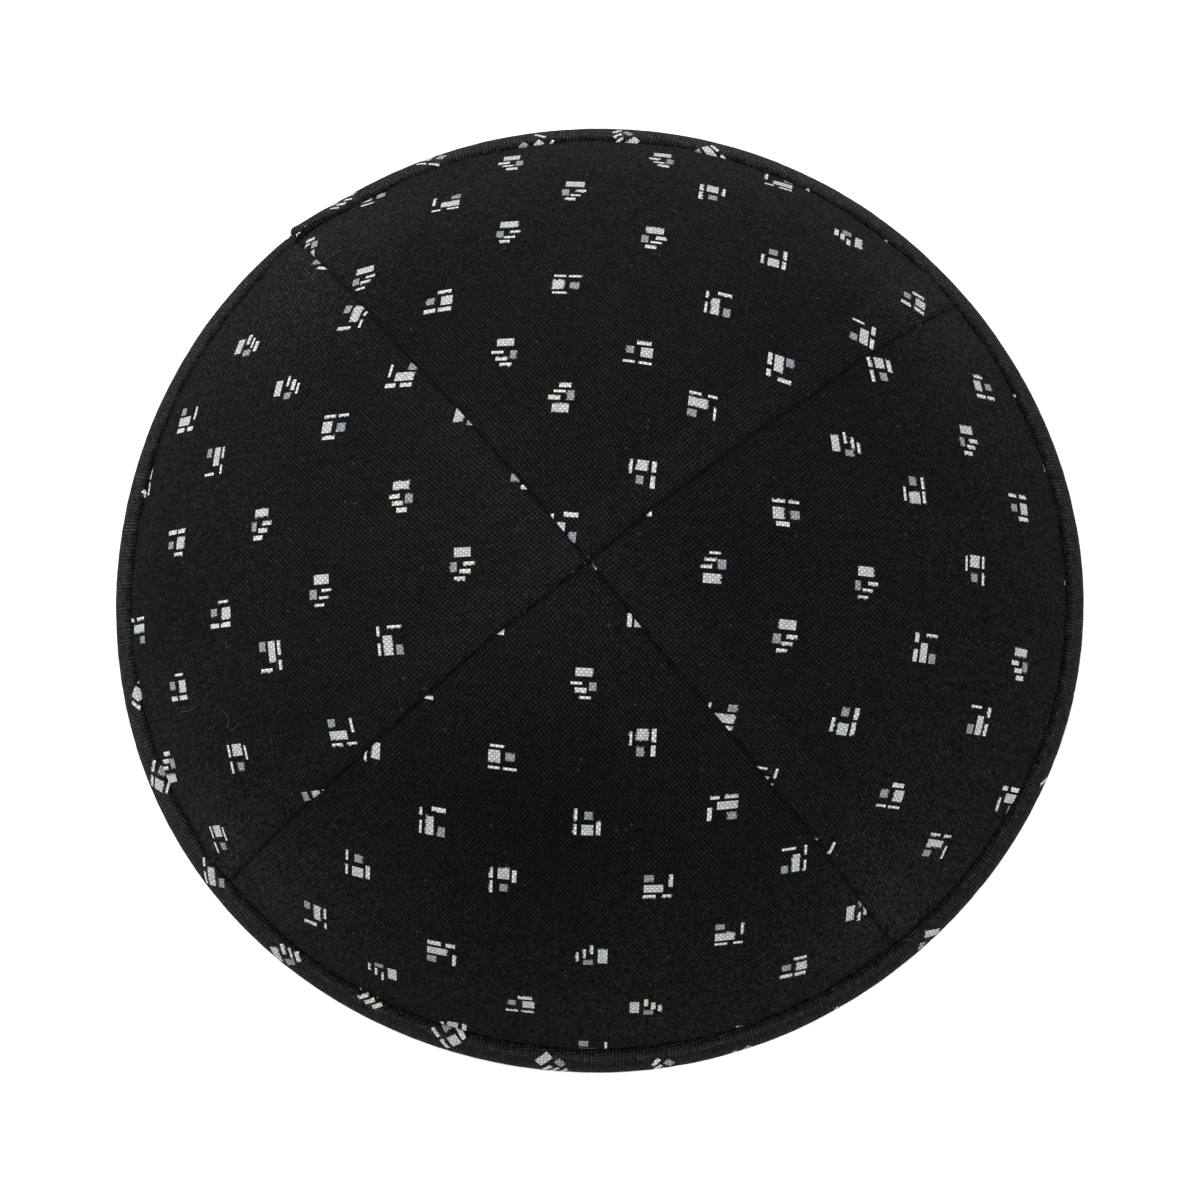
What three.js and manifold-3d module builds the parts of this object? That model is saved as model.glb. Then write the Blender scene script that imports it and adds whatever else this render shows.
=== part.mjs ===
// A four-panel cotton kippah with a bound rim, standing on its rim as it does by itself.
// Millimetres. +Z is up, the origin is the middle of the rim on the surface under the cap,
// +X is to the right and -Y to the front of someone who looks down on the cap.

import * as THREE from 'three';
import { mergeVertices } from 'three/addons/utils/BufferGeometryUtils.js';
import Module from 'manifold-3d';

// Driving dimensions of the cap
const RIM_WIDTH = 165; // over the binding, from side to side
const RIM_DEPTH = 162; // over the binding, from front to back
const CAP_HEIGHT = 55; // from the surface to the crown's tip
const CROWN_PITCH = 0.044; // slope of the slight point that four flat-cut panels give the crown

// The cloth
const PANEL_WALL = 1.2; // printed cotton, its backing and the plain inside, pressed together
const BINDING_WALL = 1.0; // one side of the folded strip
const EDGE_WALL = 0.8; // a panel's pressed edge inside the binding
const CLEARANCE = 0.3; // between two pieces that are sewn to each other

// The binding, as distances up the cap's outer face from the rim
const GROOVE_AT = 5.6; // the sewn groove between the binding and the panels
const PANEL_EDGE_AT = 1.6; // where a panel's edge ends inside the fold
const FACE_SWELL = 0.2; // how far the binding's face bulges between groove and rim
const RIM_ROUNDING = 0.9; // height and reach of the fold's rounded edges
const INNER_EDGE_AT = 1.3; // where the rounding ends on the binding's inner face

// The binding's end laps over its start beside the seam at the back left
const LAP_FROM_DEG = 122;
const LAP_TO_DEG = 130.3;
const LAP_STEP = 0.7;
const LAP_ROOT = 0.5; // how deep the lap is fused into the binding
const LAP_TOP_AT = 5.0;
const LAP_LOW_AT = 0.5;

// The four panels, each from its first seam counter-clockwise to the first seam of the next
const PANELS = [
  { name: 'panel_back', firstSeamDeg: 39.1 },
  { name: 'panel_left', firstSeamDeg: 129.9 },
  { name: 'panel_front', firstSeamDeg: 218.2 },
  { name: 'panel_right', firstSeamDeg: 310.0 },
];

// Waves that take the rim away from a true circle. A crest is where a wave stands furthest out.
const RIM_WAVES = [
  { lobes: 1, amplitude: 0.32, crestDeg: -162 },
  { lobes: 2, amplitude: (RIM_WIDTH - RIM_DEPTH) / 4, crestDeg: 0 },
  { lobes: 3, amplitude: 0.31, crestDeg: -13 },
  { lobes: 5, amplitude: 0.17, crestDeg: -6 },
];

// How finely round shapes are divided
const STEPS_ROUND = 84;
const LAP_STEPS_ROUND = 252;
const CROWN_STEPS_OUTSIDE = 13;
const CROWN_STEPS_INSIDE = 9;
const FACE_STEPS = 3;
const ROUNDING_STEPS = 3;

// Reach of the shapes that divide the cap, past everything that they cut
const CUT_REACH = 120;

// Colours of the photographed cloth
const PANEL_BLACK = 0x1d1c1d;
const BINDING_BLACK = 0x201f20;

// Worked out from the driving dimensions. The crown is a spherical cap on a faint cone.
const RIM_RADIUS = (RIM_WIDTH + RIM_DEPTH) / 4;
const SPHERE_RISE = CAP_HEIGHT - RIM_ROUNDING - CROWN_PITCH * RIM_RADIUS;
const SPHERE_RADIUS = (RIM_RADIUS ** 2 + SPHERE_RISE ** 2) / (2 * SPHERE_RISE);
const SPHERE_MIDDLE = CAP_HEIGHT - SPHERE_RADIUS;
const RIM_ANGLE = Math.asin(RIM_RADIUS / SPHERE_RADIUS);
const CROWN_TIP_AT = SPHERE_RADIUS * RIM_ANGLE;
const FOLD_NEAR = BINDING_WALL + CLEARANCE;
const EDGE_INSIDE = FOLD_NEAR + EDGE_WALL;
const FOLD_FAR = EDGE_INSIDE + CLEARANCE;
const BINDING_INSIDE = FOLD_FAR + BINDING_WALL;

const wasm = await Module();
wasm.setup();

// A point of the cap's section, at a distance up the outer face from the rim and a depth below it
function section(upFace, depth) {
  const angle = RIM_ANGLE - upFace / SPHERE_RADIUS;
  const radius = (SPHERE_RADIUS - depth) * Math.sin(angle);
  const rise = (SPHERE_RADIUS - depth) * Math.cos(angle) - CROWN_PITCH * radius;
  return new THREE.Vector2(Math.max(radius, 0), SPHERE_MIDDLE + rise);
}

// Even steps along the section at one depth
function sectionRun(from, to, depth, steps) {
  const run = [];
  for (let i = 0; i <= steps; i += 1) {
    run.push(section(THREE.MathUtils.lerp(from, to, i / steps), depth));
  }
  return run;
}

// The binding's outer face, which bulges a little between the groove and the rim
function bindingFace(from, to, offset) {
  const run = [];
  for (let i = 0; i <= FACE_STEPS; i += 1) {
    const upFace = THREE.MathUtils.lerp(from, to, i / FACE_STEPS);
    const bulge = FACE_SWELL * Math.sin(Math.PI * upFace / GROOVE_AT);
    run.push(section(upFace, -bulge - offset));
  }
  return run;
}

// A rounded edge of the fold, from a point of a face down to the surface that the cap rests on
function rounding(start, inward) {
  const run = [];
  for (let i = 1; i <= ROUNDING_STEPS; i += 1) {
    const turn = (Math.PI / 2) * (i / ROUNDING_STEPS);
    const reach = inward * RIM_ROUNDING * (1 - Math.cos(turn));
    run.push(new THREE.Vector2(start.x + reach, start.y * (1 - Math.sin(turn))));
  }
  return run;
}

// How far the rim stands outside a true circle, at an angle round the cap
function rimWander(angle) {
  let wander = 0;
  for (const wave of RIM_WAVES) {
    const crest = THREE.MathUtils.degToRad(wave.crestDeg);
    wander += wave.amplitude * Math.cos(wave.lobes * (angle - crest));
  }
  return wander;
}

// Turns a section round the upright axis, scaled to the rim's waves and shifted by a taper.
// Sections list the outer face first, going down, so they are reversed for faces that point out.
function turned(points, stepsRound, taper = () => 0) {
  const geometry = new THREE.LatheGeometry(points.toReversed(), stepsRound);
  geometry.rotateX(Math.PI / 2);
  const place = geometry.getAttribute('position');
  for (let i = 0; i < place.count; i += 1) {
    const angle = Math.atan2(place.getY(i), place.getX(i));
    const radius = Math.hypot(place.getX(i), place.getY(i));
    const scaled = radius * (1 + rimWander(angle) / RIM_RADIUS) + taper(angle);
    place.setX(i, scaled * Math.cos(angle));
    place.setY(i, scaled * Math.sin(angle));
  }
  return asSolid(geometry);
}

// A closed mesh as a solid that can be cut and joined
function asSolid(geometry) {
  geometry.deleteAttribute('normal');
  geometry.deleteAttribute('uv');
  const merged = mergeVertices(geometry, 0.0005);
  const corners = merged.getIndex().array;
  const triangles = [];
  for (let i = 0; i < corners.length; i += 3) {
    const [a, b, c] = corners.slice(i, i + 3);
    if (a !== b && b !== c && c !== a) {
      triangles.push(a, b, c);
    }
  }
  return new wasm.Manifold(new wasm.Mesh({
    numProp: 3,
    vertProperties: merged.getAttribute('position').array,
    triVerts: new Uint32Array(triangles),
  }));
}

// A solid as a mesh of the scene
function asMesh(solid, name, colour) {
  const { vertProperties, triVerts } = solid.getMesh();
  const geometry = new THREE.BufferGeometry();
  geometry.setAttribute('position', new THREE.BufferAttribute(vertProperties, 3));
  geometry.setIndex(new THREE.BufferAttribute(triVerts, 1));
  geometry.computeVertexNormals();
  const material = new THREE.MeshStandardMaterial({ color: colour, roughness: 0.92, metalness: 0 });
  const mesh = new THREE.Mesh(geometry, material);
  mesh.name = name;
  return mesh;
}

// An upright wedge between two directions, each of its two sides set in by the same distance
function wedge(fromDeg, toDeg, inset) {
  const from = THREE.MathUtils.degToRad(fromDeg);
  const to = THREE.MathUtils.degToRad(toDeg);
  const middle = (from + to) / 2;
  const start = inset / Math.sin((to - from) / 2);
  const outline = new THREE.Shape();
  outline.moveTo(start * Math.cos(middle), start * Math.sin(middle));
  for (const angle of [from, middle, to]) {
    const reach = angle === middle ? CUT_REACH * Math.SQRT2 : CUT_REACH;
    outline.lineTo(
      start * Math.cos(middle) + reach * Math.cos(angle),
      start * Math.sin(middle) + reach * Math.sin(angle),
    );
  }
  const geometry = new THREE.ExtrudeGeometry(outline, { depth: 2 * CUT_REACH, bevelEnabled: false });
  geometry.translate(0, 0, -CUT_REACH);
  return asSolid(geometry);
}

// The crown before it is parted at the seams: its pressed edge runs down into the binding
function crownSolid() {
  const edge = [
    { upFace: GROOVE_AT + 0.25, depth: 0.6 },
    { upFace: GROOVE_AT - 0.05, depth: 1.15 },
    { upFace: GROOVE_AT - 0.3, depth: FOLD_NEAR },
    { upFace: PANEL_EDGE_AT, depth: FOLD_NEAR },
    { upFace: PANEL_EDGE_AT, depth: EDGE_INSIDE },
    { upFace: GROOVE_AT - 0.3, depth: EDGE_INSIDE },
  ];
  return turned([
    ...sectionRun(CROWN_TIP_AT, GROOVE_AT + 1.1, 0, CROWN_STEPS_OUTSIDE),
    ...edge.map(({ upFace, depth }) => section(upFace, depth)),
    ...sectionRun(GROOVE_AT + 1.6, CROWN_TIP_AT, PANEL_WALL, CROWN_STEPS_INSIDE),
  ], STEPS_ROUND);
}

function panel({ name, firstSeamDeg }, crown, lastSeamDeg) {
  const between = wedge(firstSeamDeg, lastSeamDeg, CLEARANCE / 2);
  return asMesh(crown.intersect(between), name, PANEL_BLACK);
}

// The folded strip: up its outer face, over both edges of the fold and down its inner face
function bindingSolid() {
  const face = bindingFace(GROOVE_AT - 0.75, 0, 0);
  const inner = section(INNER_EDGE_AT, BINDING_INSIDE);
  const profile = [
    section(GROOVE_AT - 0.35, BINDING_WALL),
    section(GROOVE_AT - 0.3, BINDING_WALL / 2),
    ...face,
    ...rounding(face.at(-1), -1),
    ...rounding(inner, 1).reverse(),
    inner,
    section(GROOVE_AT - 0.2, BINDING_INSIDE),
    section(GROOVE_AT, BINDING_INSIDE - BINDING_WALL / 2),
    section(GROOVE_AT - 0.2, FOLD_FAR),
    section(PANEL_EDGE_AT - CLEARANCE, FOLD_FAR),
    section(PANEL_EDGE_AT - CLEARANCE, BINDING_WALL),
  ];
  return turned([...profile, profile[0]], STEPS_ROUND);
}

// The strip's end, which stands proud where it crosses the start and thins out behind it
function lapSolid() {
  const from = THREE.MathUtils.degToRad(LAP_FROM_DEG);
  const to = THREE.MathUtils.degToRad(LAP_TO_DEG);
  const profile = [
    ...bindingFace(LAP_TOP_AT, LAP_LOW_AT, LAP_STEP),
    section(LAP_LOW_AT, LAP_ROOT),
    section(LAP_TOP_AT, LAP_ROOT),
  ];
  const sink = (angle) => -LAP_STEP * THREE.MathUtils.clamp((to - angle) / (to - from), 0, 1);
  const ring = turned([...profile, profile[0]], LAP_STEPS_ROUND, sink);
  return ring.intersect(wedge(LAP_FROM_DEG, LAP_TO_DEG, 0));
}

const kippah = new THREE.Group();
const crown = crownSolid();
PANELS.forEach((row, i) => {
  const next = PANELS[(i + 1) % PANELS.length].firstSeamDeg;
  const lastSeamDeg = next > row.firstSeamDeg ? next : next + 360;
  kippah.add(panel(row, crown, lastSeamDeg));
});
kippah.add(asMesh(bindingSolid().add(lapSolid()), 'rim_binding', BINDING_BLACK));

export default kippah;
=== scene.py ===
"""The looks of a four-panel cotton kippah with a bound rim, made round its solid model.

Lengths are millimetres and become Blender's metres where a mesh is made. +Z is up and +Y is the
top of the picture. A place on the cap is given by how far it lies up the outer face from the rim,
how deep it lies under that face, and its direction round the cap.
"""
import math

import bpy
import numpy as np
from mathutils import Matrix, Vector


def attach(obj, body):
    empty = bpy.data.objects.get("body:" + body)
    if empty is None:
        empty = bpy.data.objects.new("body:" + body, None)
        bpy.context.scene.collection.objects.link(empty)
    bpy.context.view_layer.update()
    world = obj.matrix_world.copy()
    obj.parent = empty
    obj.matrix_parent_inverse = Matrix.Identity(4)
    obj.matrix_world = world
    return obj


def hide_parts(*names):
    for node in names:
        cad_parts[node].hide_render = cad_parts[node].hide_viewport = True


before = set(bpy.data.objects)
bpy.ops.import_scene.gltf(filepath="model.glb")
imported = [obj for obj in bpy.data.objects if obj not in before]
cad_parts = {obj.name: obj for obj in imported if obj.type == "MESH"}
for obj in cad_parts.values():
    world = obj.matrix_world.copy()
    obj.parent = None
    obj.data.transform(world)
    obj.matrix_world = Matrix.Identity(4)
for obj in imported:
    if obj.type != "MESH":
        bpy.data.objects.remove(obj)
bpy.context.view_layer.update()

MM = 0.001


def table(columns, *rows):
    """The rows of a table, each with its values by the names of its columns."""
    return [dict(zip(columns.split(), row)) for row in rows]


# The cap, as the solid model has it
RIM_WIDTH = 165.0
RIM_DEPTH = 162.0
CAP_HEIGHT = 55.0
CROWN_PITCH = 0.044
PANEL_WALL = 1.2
BINDING_WALL = 1.0
EDGE_WALL = 0.8
CLEARANCE = 0.3
GROOVE_AT = 5.6
PANEL_EDGE_AT = 1.6
RIM_ROUNDING = 0.9
INNER_EDGE_AT = 1.3
LAP_FROM_DEG = 122.0
LAP_TO_DEG = 130.3
LAP_STEP = 0.7

RIM_RADIUS = (RIM_WIDTH + RIM_DEPTH) / 4
RIM_LENGTH = 2 * math.pi * RIM_RADIUS
SPHERE_RISE = CAP_HEIGHT - RIM_ROUNDING - CROWN_PITCH * RIM_RADIUS
SPHERE_RADIUS = (RIM_RADIUS**2 + SPHERE_RISE**2) / (2 * SPHERE_RISE)
SPHERE_MIDDLE = CAP_HEIGHT - SPHERE_RADIUS
RIM_ANGLE = math.asin(RIM_RADIUS / SPHERE_RADIUS)
CROWN_TIP_AT = SPHERE_RADIUS * RIM_ANGLE
FOLD_NEAR = BINDING_WALL + CLEARANCE
EDGE_INSIDE = FOLD_NEAR + EDGE_WALL
FOLD_FAR = EDGE_INSIDE + CLEARANCE
BINDING_INSIDE = FOLD_FAR + BINDING_WALL

# Each panel runs counter-clockwise from its first seam. Its threads run along the grain, and
# print_shift says where on the bolt it was cut. An allowance that is pressed to a panel's side
# of a seam lifts the cloth there a little, and the cloth over it carries a painted sheen.
PANELS = table(
    "node seam_deg grain_deg print_shift allowance",
    ("panel_back", 39.1, 84.3, (11.0, 4.0), (True, False)),
    ("panel_left", 129.9, 181.0, (151.0, 33.0), (True, True)),
    ("panel_front", 218.2, 266.0, (307.0, 81.0), (False, False)),
    ("panel_right", 310.0, 357.0, (449.0, 139.0), (True, False)),
)

# Waves that take the rim away from a true circle
RIM_WAVES = table(
    "lobes amplitude crest_deg",
    (1, 0.32, -162.0),
    (2, (RIM_WIDTH - RIM_DEPTH) / 4, 0.0),
    (3, 0.31, -13.0),
    (5, 0.17, -6.0),
)

# A steady shift of the sewn groove, and waves that take it to and fro
GROOVE_WAVES = table(
    "lobes amplitude crest_deg",
    (0, 0.75, 0.0),
    (1, 0.48, 252.0),
    (2, 0.26, 254.0),
    (7, 0.1, 13.0),
)

# Where the groove is drawn toward the rim, at the lap's end
GROOVE_NIP = {"shift": -1.6, "direction_deg": 129.3, "spread_deg": 4.2}

# Smooth unevenness. size is in millimetres, but a share of its pull for a seam.
UNEVENNESS = table(
    "kind size seed length",
    ("crown_wide", 0.16, 3.0, 31.0),
    ("crown_close", 0.04, 8.0, 7.0),
    ("pucker", 0.07, 5.0, 9.0),
    ("seam_pull", 0.45, 12.0, 3.3),
    ("binding_swell", 0.02, 2.0, 11.0),
    ("binding_drag", 0.02, 6.0, 3.1),
)

# The cloth: plain weave, with the threads along the grain closer than those across it. A pair of
# levels is the darkest and the lightest.
THREAD_ALONG_PITCH = 0.408
THREAD_ACROSS_PITCH = 0.477
THREAD_OVER = 0.6
THREAD_ROUND = 0.4
THREAD_LEVELS = (0.9, 1.1)
CROSSING_LEVELS = (0.64, 1.36)
SLUB_LEVELS = (0.9, 1.1)
SLUB_SCALES = {"along": (0.35, 2.6, 0.0), "across": (2.2, 0.35, 0.0)}
# Painted light and shade by which thread lies on top
PAINTED_FACING_CONTRAST = 0.8
WEAVE_RELIEF = 0.11
WEAVE_SHADES_AT = (-0.6, 0.9)
GRAIN_MIDDLE_AT = 64.0
NOISE_RANGE = (0.3, 0.7)

# Short fibres that stand up from the cloth, seen most where it falls away toward the rim, and
# the even veil that they lay over the weave there. Reaches are shares of the rim's radius.
FUZZ_SCALE = 1600.0
FUZZ_ROUGHNESS = 0.62
FUZZ_RANGE = (0.28, 0.72)
FUZZ_REACH = (0.5, 0.88)
FUZZ_STRENGTH = (0.12, 0.98)
FUZZ_SQUEEZE = (1.0, 1.0, 0.3)
VEIL_REACH = (0.65, 0.95)
VEIL_STRENGTH = 0.7
VEIL_SHADE = 0.65

# How dark the threads may get, and the lint that a few crossings carry, by their chance
LEAST_LEVEL = 0.05
LINT_CHANCES = (0.9988, 0.999)
LINT_LEVEL = 2.6
LINT_SEED = (0.0, 0.0, 9.0)

# Painted light on the cloth: painted sheen and shade along the seams, and in wide soft patches
SEAM_PAINTED_LIGHT_WIDTH = 18.0
SEAM_PAINTED_LIGHT = table(
    "from_tip length tone",
    (60.0, 13.0, -0.24),
    (89.0, 10.0, 0.52),
)
SOFT_PAINTED_LIGHT = table(
    "from_tip direction_deg width tone",
    (9.0, 262.0, 15.0, 0.2),
    (22.0, 155.0, 16.0, 0.22),
    (48.0, 258.0, 22.0, -0.32),
    (84.0, 181.0, 13.0, -0.23),
    (95.0, 275.0, 16.0, 0.16),
    (70.0, 322.0, 16.0, 0.22),
    (90.0, 92.0, 14.0, 0.06),
    (72.0, 137.0, 15.0, 0.24),
    (26.0, 0.0, 16.0, -0.09),
    (76.0, 227.0, 18.0, 0.14),
    (80.0, 313.0, 18.0, 0.12),
)

# Painted light on the binding: a painted highlight along its crest and painted shade on its steep
# outer part at the bottom, and painted light on its top and left. across is how far a place lies
# from the groove.
BINDING_PAINTED_LIGHT = table(
    "across width direction_deg spread_deg tone",
    (3.5, 1.1, 290.0, 60.0, -0.48),
    (2.4, 0.3, 266.0, 24.0, 0.75),
    (2.4, 1.3, 95.0, 30.0, 0.3),
    (2.6, 1.2, 178.0, 25.0, 0.16),
)

# Sewn details. A pair gives where something starts and where it is whole, and SEAM_SPOTS how
# much of a seam's painted shade single crossings take. The shades here are painted shade in the
# seams and in the groove.
SEAM_ROLL = 0.6
SEAM_DEPTH = 0.2
SEAM_PINCH = 0.2
SEAM_PINCH_DEPTH = 0.2
SEAM_GAP = 0.04
SEAM_WANDER = 0.22
WANDER_LENGTH = 34.0
WANDER_FROM_TIP = (3.0, 15.0)
SEAM_HOLD = 0.2
SEAM_HOLD_WIDTH = 4.0
SEAM_SHADE = 0.6
SEAM_SHADE_WIDTH = 0.45
SEAM_SPOTS = (0.75, 1.15)
SEAM_DARKEST = 0.3
ALLOWANCE_WIDTH = 6.5
ALLOWANCE_LIFT = 0.22
ALLOWANCE_RISE = (0.3, 1.6)
ALLOWANCE_FADE = 1.6
# Painted sheen on the cloth over a pressed allowance
ALLOWANCE_PAINTED_SHEEN = 0.14
INSIDE_ALLOWANCE = 0.4
INSIDE_EDGE = 0.5
INSIDE_STEP = (-0.3, 1.6)
GROOVE_ROLL = 0.5
GROOVE_TUCK = 0.3
GROOVE_SHADE = 0.95
GROOVE_SHADE_WIDTH = 0.6
RELIEF_END = (0.1, 1.0)
PUCKER_DEPTH = 0.05
PUCKER_REACH = 2.2

# The binding: its swell and fold, the bias on which it is cut, and the ribs that the fold makes
BINDING_ROLL = 1.5
ROLL_BELOW = 0.35
ROLL_DEPTH = 0.8
BINDING_SWELL = 0.34
SWELL_LEAN = 0.85
# Painted shade on the binding beside the groove
BINDING_SHADE_WIDTH = 1.3
# Painted sheen: the binding's whole cloth is painted lighter, for the sheen its rolled edge catches
BINDING_PAINTED_SHEEN = 1.98
INNER_TOP_BULGE = 0.35
CLOSING_WIDTH = 1.0
BIAS_DEG = 46.0
BINDING_SHIFT = (641.0, 232.0)
RIB_PITCH = 0.55
RIB_STRENGTH = 0.7
RIB_LEAST = 0.35
RIB_PATCH_SCALE = 0.09
RIB_PATCH_RANGE = (0.35, 0.65)

# The lap's end: it leans, ends in a small knob, sinks beside the groove and leaves a crease.
# before_foot and after_foot are distances along the strip from where the lap ends.
LAP_SLANT = 0.5
LAP_ROUNDING = 0.9
LAP_KNOB = {"before_foot": 0.9, "width": 0.7, "rise": 0.3}
LAP_KNOB_ACROSS = (1.5, 3.5)
LAP_HOLLOW = 0.45
LAP_HOLLOW_ACROSS = (0.6, 2.6)
LAP_CREASE = {"after_foot": 0.15, "width": 0.3, "depth": 0.12}
# Painted shade in the hollow beside the lap's knob
LAP_SHADE = {"before_foot": 1.2, "width": 1.0}
LAP_SHADE_ACROSS = (0.8, 2.4)

# The stitches round the rim. sink is how far their ends dip into the cloth. along and dip give
# one stitch's points as shares of its half length and of that sink.
STITCH_PITCH = 2.4
STITCH_THICKNESS = 0.28
STITCH_REACH = 0.44
STITCH_LEAN = 0.08
LEAN_PACE = 2.1
STITCH_SHAPE = {"along": (-1.0, -0.72, -0.3, 0.3, 0.72, 1.0), "dip": (1.0, 0.35, 0.0, 0.0, 0.35, 1.0)}
STITCH_ROWS = {
    "groove_stitches": {"up_face": GROOVE_AT - 0.12, "depth": 0.95, "sink": 0.3},
    "inside_stitches": {"up_face": GROOVE_AT - 0.9, "depth": BINDING_INSIDE + 0.05, "sink": -0.3},
}
THREAD_SIDES = 6
THREAD_END_GIRTH = 0.3

# Pale stitches that hold the lap's end. lean turns a stitch away from the way up the face.
LAP_STITCHES = table(
    "up_face direction_deg height length lean_deg thickness",
    (4.6, 129.35, 0.55, 1.1, 84.0, 0.22),
    (3.75, 129.5, 0.66, 0.6, 84.0, 0.1),
    (4.0, 128.1, 0.68, 0.35, 90.0, 0.22),
)
STITCH_POINTS = 9
STITCH_CLEAR = 0.12
STITCH_DIP = 0.4

# Cut thread ends where the seams meet. Their points lie along from_tip and go down at both ends.
SPECK_ALONG = (-0.12, -0.05, 0.05, 0.12)
SPECK_DEPTHS = (0.2, -0.02, -0.02, 0.2)
SPECK_THICKNESS = 0.17
TIP_SPECKS = table(
    "from_tip direction_deg",
    (0.75, 205.0),
    (0.7, 95.0),
    (0.85, 322.0),
    (3.2, 214.0),
)

# Loose hairs on the crown. turn_deg says how far a hair starts away from straight outward.
HAIR_THICKNESS = 0.07
HAIR_SIDES = 4
HAIR_POINTS = 14
HAIR_CLEAR = 0.08
HAIR_ARCH = 0.1
HAIR_KINK_DEG = 25
HAIR_KINK_PACE = 5
LINT_HAIRS = table(
    "from_tip direction_deg length turn_deg curl_deg",
    (84.0, 196.6, 5.2, 205.0, -60.0),
    (80.0, 195.6, 2.4, -80.0, 70.0),
    (73.4, 198.6, 4.6, 120.0, -85.0),
    (72.8, 201.8, 2.6, 150.0, 45.0),
    (57.4, 194.2, 2.8, 20.0, 105.0),
    (81.4, 203.9, 2.2, 80.0, -50.0),
    (87.3, 277.0, 2.7, 110.0, -45.0),
    (68.0, 189.0, 2.4, 60.0, 120.0),
)

# Cloth, inks and threads, as linear colours
CLOTH_SHEEN = 0.012
BINDING_SHEEN = 0.022
CLOTH_LOOK = {"Specular IOR Level": 0.012, "Sheen Roughness": 0.45}
CLOTH_ROUGHNESS = (1.0, 0.82)
# Painted shade: the colour of the pits between the threads
PAINTED_PIT_SHADE = (0.0004, 0.0004, 0.0004, 1)
CLOTH_CROWN = (0.0045, 0.00427, 0.0044, 1)
INKS = {
    "cream": (0.358, 0.344, 0.327, 1),
    "pale": (0.27, 0.282, 0.282, 1),
    "slate": (0.149, 0.159, 0.168, 1),
}
THREAD_COLOURS = {
    "black_thread": (0.007, 0.007, 0.0072),
    "pale_thread": (0.4, 0.39, 0.36),
    "grey_thread": (0.075, 0.075, 0.072),
    "grey_lint": (0.02, 0.02, 0.0195),
}
PLY_SCALE = 2600.0
PLY_LEVELS = (0.6, 1.4)
PLY_RELIEF = 0.03
THREAD_BUMP = 0.6
THREAD_ROUGHNESS = (0.55, 0.8)
THREAD_LOOK = {"Specular IOR Level": 0.2, "Sheen Weight": 0.05}

# The print: small groups of five bars in three layouts. A row gives one bar's ink and, for each
# layout, its middle and its size.
PRINT_CELL = 17.3
PRINT_TURN_DEG = 41.0
PRINT_JITTER = 4.4
PRINT_SEED = (0.5, 0.25, 7.0)
PRINT_BARS = table(
    "ink middles sizes",
    ("pale", [(-0.7, 0.6), (-1.9, 0.3), (-1.4, 0.0)], [(3.4, 1.5), (1.5, 3.0), (2.0, 2.0)]),
    ("slate", [(-1.6, -1.4), (0.5, 1.8), (1.4, -0.2)], [(1.6, 1.3), (1.6, 1.2), (1.5, 1.4)]),
    ("cream", [(-1.3, 2.2), (0.0, -0.9), (-1.3, 2.0)], [(2.2, 0.6), (0.6, 1.9), (2.1, 0.6)]),
    ("cream", [(2.3, -0.8), (1.2, -0.1), (1.4, 2.0)], [(0.6, 2.4), (0.6, 1.9), (2.1, 0.6)]),
    ("cream", [(1.6, 2.2), (2.4, 0.7), (-0.9, -1.9)], [(1.6, 0.6), (0.6, 1.9), (2.4, 0.6)]),
)

# How the ink lies: its edges follow the crossings and wobble, and the threads' tops take most
BAR_EDGE = 0.05
INK_BY_CROSSING = 0.65
INK_WOBBLE = (0.3, 0.3, 0.0)
INK_WOBBLE_SCALE = 2.1
INK_HEIGHTS = (0.0, 0.65)
INK_COVERS = (0.1, 1.0)
INK_TONES = (0.4, 1.6)
INK_LEVELS = (0.7, 1.34)

# The camera, as the photograph's perspective and outline give it
CAMERA_BACK = Vector((0.031, -0.116, 0.9927)).normalized()
CAMERA_DISTANCE = 2500.0
CAMERA_TARGET = Vector((0.17, -0.09, 0.0))
CAMERA_SEES = (100.0, 20000.0)
SENSOR_WIDTH = 36.0
FRAME_WIDTH = 204.6

# The studio: white all round, and square lights that face the cap. power is in watts.
WORLD_STRENGTH = 1.35
LIGHT_SIZE = 1200
LIGHTS = table(
    "name where power",
    ("key_light", (-1397, 1215, 903), 47),
    ("fill_light", (1784, 0, 1030), 16.5),
    ("top_light", (0, 0, 2060), 17),
)
FLOOR_REACH = 6000.0
FLOOR_CLOUD_SCALE = 3.0
FLOOR_GREYS = ((0.86, 0.86, 0.86, 1), (0.88, 0.88, 0.88, 1))
FLOOR_LOOK = {"Roughness": 0.9, "Specular IOR Level": 0.1}

# A panel's rows near the tip and in the groove, and its columns at a seam and beside it
TIP_ROWS = (0.06, 0.2, 0.4, 0.6, 0.85, 1.15, 1.6, 2.2, 3.0)
CROWN_ROW_STEP = 0.95
GROOVE_TURNS_DEG = (12, 24, 36, 47, 57, 66, 74, 82, 90)
SEAM_TURNS_DEG = (0, 22, 40, 55, 68, 80, 90)
SEAM_COLUMNS = (0.8, 1.2, 1.8, 2.6, 3.6, 4.7, 5.6, 6.5, 7.4, 8.4, 9.6)
MIDDLE_COLUMNS = 82
FULL_WIDTH = 24.0
LEAST_RADIUS = 1.0

# How many points the binding's section has in each of its stretches, and its columns: close
# together just after the lap's foot and just before it
PROFILE_POINTS = {"roll": 13, "face": 17, "outer_edge": 9, "inner_edge": 7, "inside": 10, "top": 9}
FOOT_REACH = 3.2
FOOT_STEP = 0.1
ROUND_COLUMNS = 690
END_REACH = 2.0
END_COLUMNS = 22

# Blender's numbers for sockets: of object coordinates, and of a Mix node's two values and result
OBJECT_PLACE = 3
MIX_SOCKETS = {"RGBA": (6, 7, 2), "VECTOR": (4, 5, 1)}


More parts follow.
